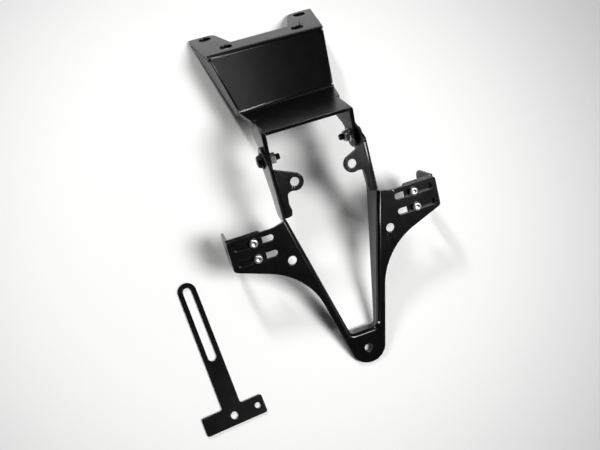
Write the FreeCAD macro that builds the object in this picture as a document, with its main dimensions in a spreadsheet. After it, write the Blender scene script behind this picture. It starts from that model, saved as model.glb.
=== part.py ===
# Number-plate carrier kit for a motorcycle tail: folded sheet brackets, pivot bolts and indicator brackets
import FreeCAD, Part
import math
import os
import Sketcher

SIZES = {
    # sheets and bends
    "tail_sheet": 3.0,
    "plate_sheet": 2.0,
    "tight_bend": 1.0,
    "pivot_gap": 0.1,
    # tail bracket, measured from the pivot axis, flange level
    "front_reach": 6.5,
    "panel_rise": 25.0,
    "lower_length": 50.1,
    "lower_fall": 5.0,
    "main_length": 50.0,
    "main_slope": 44.5,
    "flange_length": 48.6,
    "fold_radius": 7.5,
    "lobe_corner": 5.0,
    "side_bend": 1.6,
    "bend_seam": 0.1,
    "ear_bend": 2.7,
    "ear_half": 34.5,
    "ear_radius": 9.6,
    "ear_root": 25.8,
    "ear_waist_turn": 12.0,
    "ear_lobe": 29.0,
    "ear_lobe_low": 3.6,
    "ear_lobe_high": 16.4,
    "neck_step": 4.1,
    "side_flare": 0.18,
    "gusset_back": 13.0,
    "gusset_foot": 3.0,
    "gusset_gap": 0.8,
    "gusset_relief": 1.6,
    "tab_root": 20.2,
    "tab_inner": 24.0,
    "tab_lean": 8.6,
    "tab_corner": 7.0,
    "tail_slot_wide": 8.2,
    "tail_slot_long": 10.0,
    "far_slot_x": 41.0,
    "far_slot_y": 40.9,
    "near_slot_x": 29.8,
    "near_slot_y": 11.9,
    # plate holder, face plane, level of the wing holes is zero
    "tail_turn": -69.6,
    "pivot_level": 71.0,
    "pivot_depth": 23.5,
    "kink_level": 30.4,
    "toe_level": -71.4,
    "toe_corner": 4.0,
    "leg_angle": 13.4,
    "tip_level": -84.2,
    "tip_radius": 13.6,
    "leg_run": 75.2,
    "leg_blend": 52.0,
    "cut_reach": 30.0,
    "wing_half": 80.4,
    "wing_top": 27.4,
    "wing_low": 4.6,
    "wing_corner": 3.0,
    "wing_step_x": 45.5,
    "wing_join": 29.7,
    "bend_radius": 3.0,
    "toe_depth": 8.6,
    "arm_depth": 24.8,
    "arm_depth_level": 48.0,
    "arm_ear_radius": 10.0,
    "ear_top_turn": 34.0,
    "ear_low_turn": -109.0,
    "lug_x": 21.7,
    "lug_level": 54.4,
    "lug_radius": 6.5,
    "lug_top": 68.0,
    "lug_slope": 21.0,
    "lug_foot": 30.8,
    "lug_waist_x": 29.7,
    "lug_bump_x": 28.7,
    "lug_hole": 6.5,
    "slot_in": 49.0,
    "slot_out": 73.9,
    "slot_high": 21.2,
    "slot_low": 9.4,
    "slot_wide": 4.5,
    "wing_hole_x": 38.3,
    "wing_hole": 6.5,
    "toe_hole_level": -85.4,
    "toe_hole": 6.5,
    "relief_hole": 1.7,
    "relief_reach": 2.1,
    "relief_rise": 2.2,
    # indicator bracket
    "screw_x": 61.6,
    "base_inner": 55.0,
    "base_high": 28.4,
    "base_low": 4.4,
    "leg_reach": 32.0,
    "leg_corner": 7.0,
    "lamp_hole": 8.5,
    # reflector bracket lying beside the carrier
    "bar_length": 47.0,
    "bar_width": 13.8,
    "stem_width": 14.2,
    "stem_length": 97.8,
    "stem_slot_wide": 6.5,
    "stem_slot_long": 52.0,
    "bar_corner": 1.6,
    "bar_hole": 5.5,
    "bar_side_hole": 4.4,
    "bar_side_x": 18.4,
    "bar_place_x": -111.2,
    "bar_place_y": -2.4,
    "bar_turn": 3.2,
    # pivot fasteners
    "pivot_thread": 5.0,
    "pivot_hole": 5.1,
    "pivot_head": 9.5,
    "pivot_head_high": 2.8,
    "pivot_key": 3.0,
    "pivot_washer": 12.0,
    "pivot_washer_thick": 1.0,
    "pivot_nut_flats": 8.0,
    "pivot_nut_high": 4.7,
    "pivot_nut_flange": 10.0,
    "pivot_stick_out": 3.4,
    # indicator fasteners
    "small_thread": 4.0,
    "small_hole": 4.1,
    "small_head": 6.6,
    "small_head_high": 2.2,
    "small_key": 2.5,
    "small_washer": 9.0,
    "small_washer_thick": 0.8,
    "small_nut_flats": 7.0,
    "small_nut_high": 3.2,
    "small_stick_out": 1.5,
}


class Size:
    """A length that carries its value and the sheet expression that makes it."""

    def __init__(self, value, text):
        self.value = float(value)
        self.text = text

    @staticmethod
    def of(other):
        if isinstance(other, Size):
            return other
        return Size(other, "%.6g" % other if other >= 0 else "(%.6g)" % other)

    def _join(self, sign, other, value):
        return Size(value, "(%s %s %s)" % (self.text, sign, other.text))

    def __add__(self, other):
        other = Size.of(other)
        return self._join("+", other, self.value + other.value)

    def __radd__(self, other):
        return Size.of(other) + self

    def __sub__(self, other):
        other = Size.of(other)
        return self._join("-", other, self.value - other.value)

    def __rsub__(self, other):
        return Size.of(other) - self

    def __mul__(self, other):
        other = Size.of(other)
        return self._join("*", other, self.value * other.value)

    def __rmul__(self, other):
        return Size.of(other) * self

    def __truediv__(self, other):
        other = Size.of(other)
        return self._join("/", other, self.value / other.value)

    def __neg__(self):
        return Size(-self.value, "(0 - %s)" % self.text)


def sine(angle):
    return Size(math.sin(math.radians(angle.value)), "sin(%s * 1 deg)" % angle.text)


def cosine(angle):
    return Size(math.cos(math.radians(angle.value)), "cos(%s * 1 deg)" % angle.text)


def tangent(angle):
    return sine(angle) / cosine(angle)


doc = FreeCAD.newDocument("tail_tidy")
sheet = doc.addObject("Spreadsheet::Sheet", "Sizes")
for row, (alias, number) in enumerate(SIZES.items(), start=1):
    sheet.set("A%d" % row, alias)
    sheet.set("B%d" % row, repr(float(number)))
    sheet.setAlias("B%d" % row, alias)
doc.recompute()
S = {alias: Size(number, "Sizes.%s" % alias) for alias, number in SIZES.items()}


def bind(item, prop, size):
    """Set one property of an object to a sheet expression."""
    item.setExpression(prop, Size.of(size).text)


def new_body(name):
    return doc.addObject("PartDesign::Body", name)


def origin_plane(body, role):
    return [f for f in body.Origin.OriginFeatures if f.Role == role][0]


class Drawing:
    """A sketch on one of the body's origin planes, with every point bound to the sheet."""

    def __init__(self, body, name, role="XY_Plane", lift=None, turn=None, shift=None):
        self.sketch = body.newObject("Sketcher::SketchObject", name)
        self.sketch.AttachmentSupport = [(origin_plane(body, role), "")]
        self.sketch.MapMode = "FlatFace"
        if turn is not None:
            self.sketch.AttachmentOffset = FreeCAD.Placement(
                FreeCAD.Vector(0, shift[0].value, shift[1].value),
                FreeCAD.Rotation(FreeCAD.Vector(1, 0, 0), turn.value))
            bind(self.sketch, "AttachmentOffset.Rotation.Angle", turn)
            bind(self.sketch, "AttachmentOffset.Base.y", shift[0])
            bind(self.sketch, "AttachmentOffset.Base.z", shift[1])
        elif lift is not None:
            bind(self.sketch, "AttachmentOffset.Base.z", lift)

    def _fix(self, kind, geometry, point, size):
        size = Size.of(size)
        if abs(size.value) < 1e-9 and size.text in ("0", "(0)"):
            axis = -2 if kind == "DistanceX" else -1
            self.sketch.addConstraint(Sketcher.Constraint("PointOnObject", geometry, point, axis))
            return
        number = self.sketch.addConstraint(
            Sketcher.Constraint(kind, -1, 1, geometry, point, size.value))
        bind(self.sketch, "Constraints[%d]" % number, size)

    def outline(self, points):
        """Closed outline; a point may add a centre and a turn, and an arc then leaves it.

        The turn is 1 for an arc that runs anticlockwise and -1 for one that runs clockwise.
        """
        first = self.sketch.GeometryCount
        corners = [(Size.of(p[0]), Size.of(p[1])) for p in points]
        count = len(points)
        freed = {}
        for i, point in enumerate(points):
            start, end = (FreeCAD.Vector(c[0].value, c[1].value, 0)
                          for c in (corners[i], corners[(i + 1) % count]))
            if len(point) == 2:
                self.sketch.addGeometry(Part.LineSegment(start, end), False)
                continue
            centre = FreeCAD.Vector(value(point[2][0]), value(point[2][1]), 0)
            arm, other = start - centre, end - centre
            angles = [math.atan2(v.y, v.x) for v in (arm, other)]
            if point[3] < 0:
                angles.reverse()
            circle = Part.Circle(centre, FreeCAD.Vector(0, 0, 1), arm.Length)
            self.sketch.addGeometry(Part.ArcOfCircle(circle, angles[0], angles[1]), False)
            freed[(i + 1) % count] = "DistanceX" if abs(other.y) < abs(other.x) else "DistanceY"
        backward = [len(p) > 2 and p[3] < 0 for p in points]
        for i in range(count):
            after = (i + 1) % count
            self.sketch.addConstraint(Sketcher.Constraint(
                "Coincident", first + i, 1 if backward[i] else 2,
                first + after, 2 if backward[after] else 1))
        for i, (x, y) in enumerate(corners):
            start = 2 if backward[i] else 1
            if freed.get(i) != "DistanceX":
                self._fix("DistanceX", first + i, start, x)
            if freed.get(i) != "DistanceY":
                self._fix("DistanceY", first + i, start, y)
            if len(points[i]) > 2:
                self._fix("DistanceX", first + i, 3, points[i][2][0])
                self._fix("DistanceY", first + i, 3, points[i][2][1])
        return self

    def circle(self, x, y, diameter):
        """Circle about a point, by its diameter."""
        x, y, diameter = Size.of(x), Size.of(y), Size.of(diameter)
        number = self.sketch.addGeometry(Part.Circle(
            FreeCAD.Vector(x.value, y.value, 0), FreeCAD.Vector(0, 0, 1), diameter.value / 2), False)
        self._fix("DistanceX", number, 3, x)
        self._fix("DistanceY", number, 3, y)
        index = self.sketch.addConstraint(Sketcher.Constraint("Diameter", number, diameter.value))
        bind(self.sketch, "Constraints[%d]" % index, diameter)
        return self

    def slot(self, x1, x2, y, width):
        """Long hole along the sketch's X, between two arc centres at the same level."""
        x1, x2, y, width = Size.of(x1), Size.of(x2), Size.of(y), Size.of(width)
        r = width.value / 2
        centre1 = FreeCAD.Vector(x1.value, y.value, 0)
        centre2 = FreeCAD.Vector(x2.value, y.value, 0)
        up = FreeCAD.Vector(0, r, 0)
        normal = FreeCAD.Vector(0, 0, 1)
        left = self.sketch.addGeometry(Part.ArcOfCircle(
            Part.Circle(centre1, normal, r), math.pi / 2, 3 * math.pi / 2), False)
        right = self.sketch.addGeometry(Part.ArcOfCircle(
            Part.Circle(centre2, normal, r), -math.pi / 2, math.pi / 2), False)
        low = self.sketch.addGeometry(Part.LineSegment(centre1 - up, centre2 - up), False)
        high = self.sketch.addGeometry(Part.LineSegment(centre2 + up, centre1 + up), False)
        for a, pa, b, pb in ((left, 2, low, 1), (low, 2, right, 1), (right, 2, high, 1), (high, 2, left, 1)):
            self.sketch.addConstraint(Sketcher.Constraint("Tangent", a, pa, b, pb))
        self._fix("DistanceX", left, 3, x1)
        self._fix("DistanceY", left, 3, y)
        self._fix("DistanceX", right, 3, x2)
        self.sketch.addConstraint(Sketcher.Constraint("Horizontal", low))
        index = self.sketch.addConstraint(Sketcher.Constraint("Radius", left, r))
        bind(self.sketch, "Constraints[%d]" % index, width / 2)
        return self


def pad(body, drawing, name, length, reverse=False):
    """Thicken a drawing by a bound length."""
    feature = body.newObject("PartDesign::Pad", name)
    feature.Profile = drawing.sketch
    bind(feature, "Length", length)
    feature.Reversed = reverse
    drawing.sketch.Visibility = False
    doc.recompute()
    return feature


def pocket(body, drawing, name, both=False, reverse=False, length=None):
    """Cut a drawing through everything, or to a bound depth."""
    feature = body.newObject("PartDesign::Pocket", name)
    feature.Profile = drawing.sketch
    if length is None:
        feature.Type = "ThroughAll"
    else:
        bind(feature, "Length", length)
    feature.Midplane = both
    feature.Reversed = reverse
    drawing.sketch.Visibility = False
    doc.recompute()
    return feature


def fillet(body, name, radius, picks):
    """Round the edges of the body's last feature that pass one of the tests."""
    base = body.Tip
    names = ["Edge%d" % (i + 1) for i, edge in enumerate(base.Shape.Edges)
             if any(test(edge) for test in picks)]
    if not names:
        raise ValueError("no edge for " + name)
    feature = body.newObject("PartDesign::Fillet", name)
    feature.Base = (base, names)
    bind(feature, "Radius", radius)
    feature.Refine = False
    doc.recompute()
    return feature


def value(item):
    return Size.of(item).value


def upright(x, y, reach=0.05):
    """Test for an edge along Z through a point of the XY plane."""
    def test(edge):
        ends = [v.Point for v in edge.Vertexes]
        if len(ends) != 2 or abs(ends[0].z - ends[1].z) < 0.2:
            return False
        return all(abs(p.x - value(x)) < reach and abs(p.y - value(y)) < reach for p in ends)
    return test


def between(a, b, reach=0.05):
    """Test for a straight edge that lies on the line through two points, inside their span."""
    start, end = FreeCAD.Vector(*map(value, a)), FreeCAD.Vector(*map(value, b))
    along = (end - start).normalize()

    def off(p):
        return ((p - start) - along * (p - start).dot(along)).Length

    def test(edge):
        ends = [v.Point for v in edge.Vertexes]
        if len(ends) != 2 or edge.Length < 0.5:
            return False
        middle = edge.valueAt((edge.FirstParameter + edge.LastParameter) / 2)
        span = (end - start).Length
        inside = all(-0.2 < (p - start).dot(along) < span + 0.2 for p in ends)
        return inside and all(off(p) < reach for p in ends + [middle])
    return test


def plate_half():
    """Right half of the plate holder, face plane at zero, pivot level and depth from the sheet."""
    body = new_body("plate_half")
    arm_in = S["ear_half"] + S["pivot_gap"]
    arm_out = arm_in + S["plate_sheet"]
    slope = tangent(S["leg_angle"])
    toe_in = arm_in - (S["kink_level"] - S["toe_level"]) * slope
    wall_x = S["plate_sheet"] / cosine(S["leg_angle"])
    join_x = arm_in - (S["kink_level"] - S["wing_join"]) * slope
    step = S["wing_corner"]

    tip_x = S["tip_radius"] * cosine(S["leg_angle"])
    tip_y = S["tip_level"] - S["tip_radius"] * sine(S["leg_angle"])
    crook_x = tip_x + S["leg_run"] * sine(S["leg_angle"])
    crook_y = tip_y + S["leg_run"] * cosine(S["leg_angle"])

    # rounded corner where the leg's wall meets the toe's wall
    turn = S["toe_corner"]
    run = turn * tangent((90 - S["leg_angle"]) / 2)
    corner = (toe_in - run, S["toe_level"] + turn)
    leg_side = (cosine(S["leg_angle"]), -sine(S["leg_angle"]))
    toe_start = (corner[0], S["toe_level"], corner, 1)
    leg_start = (corner[0] + turn * leg_side[0], corner[1] + turn * leg_side[1])
    outer = turn + S["plate_sheet"]
    leg_start_out = (corner[0] + outer * leg_side[0], corner[1] + outer * leg_side[1], corner, -1)

    face = Drawing(body, "face_outline").outline([
        (0, S["toe_level"]), toe_start, leg_start, (join_x, S["wing_join"]),
        (arm_out, S["wing_join"]), (S["wing_step_x"], S["wing_top"]),
        (S["wing_half"], S["wing_top"]), (S["wing_half"], S["wing_low"]),
        (crook_x, crook_y), (tip_x, tip_y, (0, S["tip_level"]), -1),
        (0, S["tip_level"] - S["tip_radius"])])
    pad(body, face, "face", S["plate_sheet"], reverse=True)
    fillet(body, "leg_blend", S["leg_blend"], [upright(crook_x, crook_y)])
    fillet(body, "wing_corners", step, [upright(S["wing_half"], S["wing_top"]),
                                        upright(S["wing_half"], S["wing_low"])])
    fillet(body, "wing_step", S["wing_corner"] * 4, [upright(S["wing_step_x"], S["wing_top"])])

    kink_out = S["kink_level"] + (S["plate_sheet"] - wall_x) / slope
    ear_far = S["pivot_level"] + S["arm_ear_radius"]
    wall = Drawing(body, "wall_outline").outline([
        (0, S["toe_level"]), toe_start, leg_start, (arm_in, S["kink_level"]), (arm_in, ear_far),
        (arm_out, ear_far), (arm_out, kink_out), leg_start_out,
        (corner[0], S["toe_level"] - S["plate_sheet"]), (0, S["toe_level"] - S["plate_sheet"])])
    wall_deep = S["pivot_depth"] + S["arm_ear_radius"] + 2
    pad(body, wall, "wall", wall_deep, reverse=True)

    def on_ear(turn):
        return (S["pivot_level"] + S["arm_ear_radius"] * cosine(turn),
                S["arm_ear_radius"] * sine(turn) - S["pivot_depth"])

    centre = (S["pivot_level"], -S["pivot_depth"])
    foot = S["toe_level"] - 2 * S["plate_sheet"]
    side = Drawing(body, "side_outline", "YZ_Plane").outline([
        (foot, -S["toe_depth"]), (S["arm_depth_level"], -S["arm_depth"]),
        on_ear(S["ear_low_turn"]) + (centre, 1), on_ear(S["ear_top_turn"]),
        (S["lug_top"], 0), (S["lug_top"], 10), (ear_far + 10, 10), (ear_far + 10, -wall_deep - 5),
        (foot, -wall_deep - 5)])
    pocket(body, side, "side_cut", both=True)

    waist = S["lug_level"] - S["lug_radius"]
    lug = Drawing(body, "lug_outline").outline([
        (arm_out, S["lug_foot"]), (arm_out, S["lug_top"]),
        (S["lug_x"] - S["lug_radius"] * sine(S["lug_slope"]),
         S["lug_level"] + S["lug_radius"] * cosine(S["lug_slope"]), (S["lug_x"], S["lug_level"]), 1),
        (S["lug_x"] + S["lug_radius"] * sine(S["lug_slope"]),
         S["lug_level"] - S["lug_radius"] * cosine(S["lug_slope"])),
        (S["lug_waist_x"] - 1, waist + 0.6), (S["lug_waist_x"], waist - 8),
        (S["lug_bump_x"], waist - 12.5), (S["lug_bump_x"] + 1, S["lug_foot"] + 0.6),
        (S["lug_bump_x"] + 4, S["lug_foot"])])
    pad(body, lug, "lug", S["plate_sheet"], reverse=True)
    fillet(body, "lug_waist", S["bend_radius"], [upright(S["lug_waist_x"] - 1, waist + 0.6),
                                                 upright(S["lug_waist_x"], waist - 8)])
    fillet(body, "lug_bump", S["plate_sheet"] * 0.8, [
        upright(S["lug_bump_x"], waist - 12.5), upright(S["lug_bump_x"] + 1, S["lug_foot"] + 0.6)])

    relief = Drawing(body, "bend_relief_outline", "YZ_Plane").outline([
        (S["wing_join"], 1), (S["lug_foot"], 1), (S["lug_foot"], -S["bend_radius"] - 0.6),
        (S["wing_join"], -S["bend_radius"] - 0.6)])
    pocket(body, relief, "bend_relief", both=True)
    fillet(body, "wing_bend", S["bend_radius"], [
        between(leg_start + (0,), (join_x, S["wing_join"], 0)),
        between((0, S["toe_level"], 0), (corner[0], S["toe_level"], 0)),
        lambda edge: corner_arc(edge, corner, 0.0, turn.value * 1.1)])
    fillet(body, "lug_bend", S["bend_radius"],
           [between((arm_out, S["lug_foot"], 0), (arm_out, S["lug_top"], 0))])

    holes = Drawing(body, "face_holes")
    holes.circle(S["wing_hole_x"], 0, S["wing_hole"])
    holes.circle(S["lug_x"], S["lug_level"], S["lug_hole"])
    holes.circle(0, S["toe_hole_level"], S["toe_hole"])
    holes.circle(toe_in + S["relief_reach"], S["toe_level"] + S["relief_rise"], S["relief_hole"])
    for level in ("slot_high", "slot_low"):
        holes.slot(S["slot_in"], S["slot_out"], S[level], S["slot_wide"])
    pocket(body, holes, "face_holes_cut", both=True)
    pivot = Drawing(body, "pivot_hole_outline", "YZ_Plane").circle(
        S["pivot_level"], -S["pivot_depth"], S["pivot_hole"])
    pocket(body, pivot, "pivot_hole_cut", both=True)
    return body


def corner_arc(edge, corner, z, reach):
    """True for the arc that rounds a corner of the XY plane at a given height."""
    if len(edge.Vertexes) != 2 or isinstance(edge.Curve, Part.Line):
        return False
    point = FreeCAD.Vector(value(corner[0]), value(corner[1]), z)
    ends = [v.Point for v in edge.Vertexes]
    return all((p - point).Length < reach and abs(p.z - z) < 0.01 for p in ends)


def fold_b_half():
    """Half width of the tail bracket at the fold above its ears."""
    return S["ear_half"] + S["neck_step"]


def tail_points():
    """Side view of the tail bracket: outer and inner points at its ends and folds."""
    thick = S["tail_sheet"]
    fall, rise = S["lower_fall"], S["main_slope"]
    front = (-S["front_reach"], S["panel_rise"])
    fold_b = (front[0] + S["lower_length"] * cosine(fall), front[1] - S["lower_length"] * sine(fall))
    fold_a = (fold_b[0] + S["main_length"] * cosine(rise), fold_b[1] + S["main_length"] * sine(rise))
    end = (fold_a[0] + S["flange_length"], fold_a[1])

    def inside(point, middle, half):
        reach = thick / cosine(half)
        return (point[0] + reach * sine(middle), point[1] - reach * cosine(middle))

    front_in = (front[0] - thick * sine(fall), front[1] - thick * cosine(fall))
    fold_b_in = inside(fold_b, (rise - fall) / 2, (rise + fall) / 2)
    fold_a_in = inside(fold_a, rise / 2, rise / 2)
    end_in = (end[0], end[1] - thick)
    return {"front": front, "fold_b": fold_b, "fold_a": fold_a, "end": end, "front_in": front_in,
            "fold_b_in": fold_b_in, "fold_a_in": fold_a_in, "end_in": end_in}


def on_main(run, depth):
    """Point of the tail's side view at a run up the main panel and a depth behind it."""
    start, slope = tail_points()["fold_b"], S["main_slope"]
    return (start[0] + run * cosine(slope) + depth * sine(slope),
            start[1] + run * sine(slope) - depth * cosine(slope))


def side_at(run):
    """Half width of the tail bracket at a run up its main panel."""
    return fold_b_half() + S["side_flare"] * run


def slanted(body, name, points):
    """Outline on the plane of the main panel's outer face, as half width and run."""
    return Drawing(body, name, turn=S["main_slope"], shift=tail_points()["fold_b"]).outline(points)


def gusset_half():
    """Right side wall behind main panel and flange, in the tail's frame."""
    body = new_body("gusset_half")
    p = tail_points()
    thick, wide = S["tail_sheet"], fold_b_half() + 22
    level = p["end_in"][1] - S["gusset_gap"]
    start, stop = S["gusset_foot"], S["main_length"] - S["gusset_foot"]
    wedge = Drawing(body, "wall_outline", "YZ_Plane").outline([
        on_main(start, 0), on_main(start, S["gusset_back"]),
        (p["end_in"][0] - 4, level - 1.5), (p["end_in"][0] - 1, level),
        (p["fold_a_in"][0] + 2.5, level), on_main(stop, thick * 1.4), on_main(stop, 0)])
    pad(body, wedge, "wall", wide)
    far, near = S["main_length"] * 2, -S["lower_length"]
    hollow = slanted(body, "inside_outline", [
        (-5, near), (side_at(near) - thick, near), (side_at(far) - thick, far), (-5, far)])
    pocket(body, hollow, "inside_cut", both=True)
    trim = slanted(body, "outside_outline", [
        (side_at(near), near), (side_at(far), far), (wide + S["cut_reach"], far),
        (wide + S["cut_reach"], near)])
    pocket(body, trim, "outside_cut", both=True)
    fillet(body, "side_bend", S["side_bend"], [
        between((side_at(start),) + on_main(start, 0), (side_at(stop),) + on_main(stop, 0))])
    return body


def ear_half():
    """Right ear of the lower panel, with the pivot hole, in the tail's frame."""
    body = new_body("ear_half")
    p = tail_points()
    thick, low, radius = S["tail_sheet"], S["lower_fall"], S["ear_radius"]
    root_y = p["front"][0] + S["ear_root"] * cosine(low)
    root_top = p["front"][1] - S["ear_root"] * sine(low)
    ear_in = S["ear_half"] - thick
    ear = Drawing(body, "ear_outline", "YZ_Plane", lift=ear_in).outline([
        p["front"], (-radius * cosine(low), radius * sine(low), (0, 0), 1),
        (radius * cosine(S["ear_waist_turn"]), radius * sine(S["ear_waist_turn"])),
        (radius + 3.5, S["ear_lobe_low"]), (S["ear_lobe"], S["ear_lobe_low"] + 1),
        (S["ear_lobe"], S["ear_lobe_high"] - 1), (root_y, S["ear_lobe_high"]), (root_y, root_top)])
    pad(body, ear, "ear", thick)

    def ear_corner(y, z):
        return between((ear_in, y, z), (S["ear_half"], y, z))

    fillet(body, "ear_lobe_corners", S["lobe_corner"], [
        ear_corner(S["ear_lobe"], S["ear_lobe_low"] + 1), ear_corner(S["ear_lobe"], S["ear_lobe_high"] - 1)])
    fillet(body, "ear_waist", S["lobe_corner"] - 1, [ear_corner(radius + 3.5, S["ear_lobe_low"])])
    fillet(body, "ear_bend", S["ear_bend"], [
        between((S["ear_half"],) + p["front"], (S["ear_half"], root_y, root_top))])
    pivot = Drawing(body, "pivot_hole_outline", "YZ_Plane").circle(0, 0, S["pivot_hole"])
    pocket(body, pivot, "pivot_hole_cut", both=True)
    return body


def tail_half():
    """Right half of the folded panel: pivot axis at the origin, flange level."""
    body = new_body("tail_half")
    p = tail_points()
    wide = fold_b_half() + 22
    slope, thick = S["main_slope"], S["tail_sheet"]
    crook = slope + S["lower_fall"]
    far, near = S["main_length"] * 2, -S["lower_length"]

    band = Drawing(body, "band_outline", "YZ_Plane").outline([
        p["front"], p["fold_b"], p["fold_a"], p["end"], p["end_in"], p["fold_a_in"], p["fold_b_in"],
        p["front_in"]])
    pad(body, band, "band", wide)

    def across(point):
        return between((0, point[0], point[1]), (wide, point[0], point[1]))

    inner = S["fold_radius"] - thick
    fillet(body, "folds_outside", S["fold_radius"], [across(p["fold_a"]), across(p["fold_b_in"])])
    fillet(body, "folds_inside", inner, [across(p["fold_a_in"]), across(p["fold_b"])])

    # the sides of main panel, flange and gusset lie in one plane, square to the main panel
    root = -((S["lower_length"] - S["ear_root"]) * cosine(crook))
    root_y = p["front"][0] + S["ear_root"] * cosine(S["lower_fall"])
    first = S["gusset_foot"] - S["gusset_relief"]
    last = S["main_length"] - S["gusset_foot"] + S["gusset_relief"]
    side, ear = (S[name] + S["bend_seam"] for name in ("side_bend", "ear_bend"))
    trim = slanted(body, "side_trim", [
        (S["ear_half"] - ear, near), (S["ear_half"] - ear, root), (S["ear_half"], root), (side_at(0), 0),
        (side_at(first), first), (side_at(first) - side, first), (side_at(last) - side, last),
        (side_at(last), last), (side_at(far), far), (wide + S["cut_reach"], far),
        (wide + S["cut_reach"], near)])
    pocket(body, trim, "side_trim_cut", both=True)

    ear_relief = Drawing(body, "ear_relief_outline").outline([
        (S["ear_half"] - thick * 1.1, root_y), (wide + S["cut_reach"], root_y),
        (wide + S["cut_reach"], root_y + S["gusset_relief"]),
        (S["ear_half"] - thick * 1.1, root_y + S["gusset_relief"])])
    pocket(body, ear_relief, "ear_relief", both=True)

    # tabs of the flange with their long holes
    tab_y = p["fold_a"][0] + S["tab_root"]
    tab_x = S["tab_inner"] + S["tab_lean"]
    notch = Drawing(body, "notch_outline").outline([
        (-5, tab_y), (S["tab_inner"], tab_y), (tab_x, p["end"][0]), (tab_x, p["end"][0] + 10),
        (-5, p["end"][0] + 10)])
    pocket(body, notch, "notch", both=True)
    fillet(body, "tab_corner", S["tab_corner"], [upright(tab_x, p["end"][0])])
    fillet(body, "notch_corner", S["tight_bend"], [upright(S["tab_inner"], tab_y)])

    def at_tip(edge):
        ends = [v.Point for v in edge.Vertexes]
        return len(ends) == 2 and all(
            abs(v.y - p["end"][0].value) < 0.01 and v.x > side_at(far / 2).value for v in ends) and abs(
                ends[0].z - ends[1].z) > thick.value * 0.9

    fillet(body, "flange_corner", S["tight_bend"] * 1.5, [at_tip])
    holes = Drawing(body, "flange_holes")
    reach = (S["tail_slot_long"] - S["tail_slot_wide"]) / 2
    for place in ("far_slot", "near_slot"):
        x = S[place + "_x"]
        holes.slot(x - reach, x + reach, p["fold_a"][0] + S[place + "_y"], S["tail_slot_wide"])
    pocket(body, holes, "flange_holes_cut", both=True)
    return body


def indicator_half():
    """Indicator bracket of the right wing, in the plate holder's frame."""
    body = new_body("indicator_half")
    face, thick = -S["plate_sheet"], S["plate_sheet"]
    base = Drawing(body, "base_outline", lift=face).outline([
        (S["base_inner"], S["base_low"]), (S["wing_half"], S["base_low"]),
        (S["wing_half"], S["base_high"]), (S["base_inner"], S["base_high"])])
    pad(body, base, "base", thick, reverse=True)
    leg = Drawing(body, "leg_outline", "YZ_Plane", lift=S["wing_half"] - thick).outline([
        (S["base_low"], face), (S["base_high"], face), (S["base_high"], -S["leg_reach"]),
        (S["base_low"], -S["leg_reach"])])
    pad(body, leg, "leg", thick)

    def leg_corner(y, z):
        return between((S["wing_half"] - thick, y, z), (S["wing_half"], y, z))

    fillet(body, "leg_corners", S["leg_corner"], [leg_corner(S["base_low"], -S["leg_reach"]),
                                                  leg_corner(S["base_high"], -S["leg_reach"])])
    fillet(body, "base_corners", thick, [upright(S["base_inner"], S["base_low"]),
                                         upright(S["base_inner"], S["base_high"])])
    fillet(body, "bend", S["bend_radius"], [between((S["wing_half"], S["base_low"], face),
                                                    (S["wing_half"], S["base_high"], face))])
    inner = S["wing_half"] - thick
    fillet(body, "bend_inside", S["tight_bend"], [between((inner, S["base_low"], face - thick),
                                                          (inner, S["base_high"], face - thick))])
    holes = Drawing(body, "screw_holes")
    for level in ("slot_high", "slot_low"):
        holes.circle(S["screw_x"], S[level], S["small_hole"])
    pocket(body, holes, "screw_holes_cut", both=True)
    lamp = Drawing(body, "lamp_hole_outline", "YZ_Plane").circle(
        (S["base_low"] + S["base_high"]) / 2, -(S["leg_reach"] + thick) / 2, S["lamp_hole"])
    pocket(body, lamp, "lamp_hole_cut", both=True)
    return body


def reflector_bracket():
    """Flat slotted bracket, centre of its crossbar at the origin, stem along Y."""
    body = new_body("reflector_bracket")
    bar_x, bar_y, stem = S["bar_length"] / 2, S["bar_width"] / 2, S["stem_width"] / 2
    top = (0, S["stem_length"])
    plate = Drawing(body, "outline").outline([
        (-bar_x, -bar_y), (bar_x, -bar_y), (bar_x, bar_y), (stem, bar_y),
        (stem, top[1], top, 1), (-stem, top[1]), (-stem, bar_y), (-bar_x, bar_y)])
    pad(body, plate, "plate", S["plate_sheet"])
    fillet(body, "corners", S["bar_corner"], [
        upright(x, y) for x in (-bar_x, bar_x) for y in (-bar_y, bar_y)]
        + [upright(x, bar_y) for x in (-stem, stem)])
    holes = Drawing(body, "bar_holes").circle(0, 0, S["bar_hole"]).circle(
        S["bar_side_x"], 0, S["bar_side_hole"])
    pocket(body, holes, "bar_holes_cut", both=True)
    slot = Drawing(body, "slot_outline")
    wide = S["stem_slot_wide"] / 2
    low = S["stem_length"] - S["stem_slot_long"]
    slot.outline([(wide, low), (wide, top[1], top, 1), (-wide, top[1]), (-wide, low, (0, low), 1)])
    pocket(body, slot, "slot", both=True)
    return body


def screw(name, thread, grip, head, high, key):
    """Round-headed socket screw: seat at zero, head above it, shank below."""
    body = new_body(name)
    rim = high * 0.3
    crown = head * 0.3
    centre = (crown * crown + high * high - head * head / 4 - rim * rim) / ((high - rim) * 2)
    half, point = thread / 2, thread * 0.1
    profile = Drawing(body, "profile", "XZ_Plane").outline([
        (0, -grip), (half - point, -grip), (half, point - grip), (half, 0), (head / 2, 0),
        (head / 2, rim, (0, centre), 1), (crown, high), (0, high)])
    turned = body.newObject("PartDesign::Revolution", "turned")
    turned.Profile = profile.sketch
    turned.ReferenceAxis = (profile.sketch, ["V_Axis"])
    profile.sketch.Visibility = False
    doc.recompute()
    pocket(body, hexagon(body, "key_outline", key, high), "key", length=high * 0.65)
    return body


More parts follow.
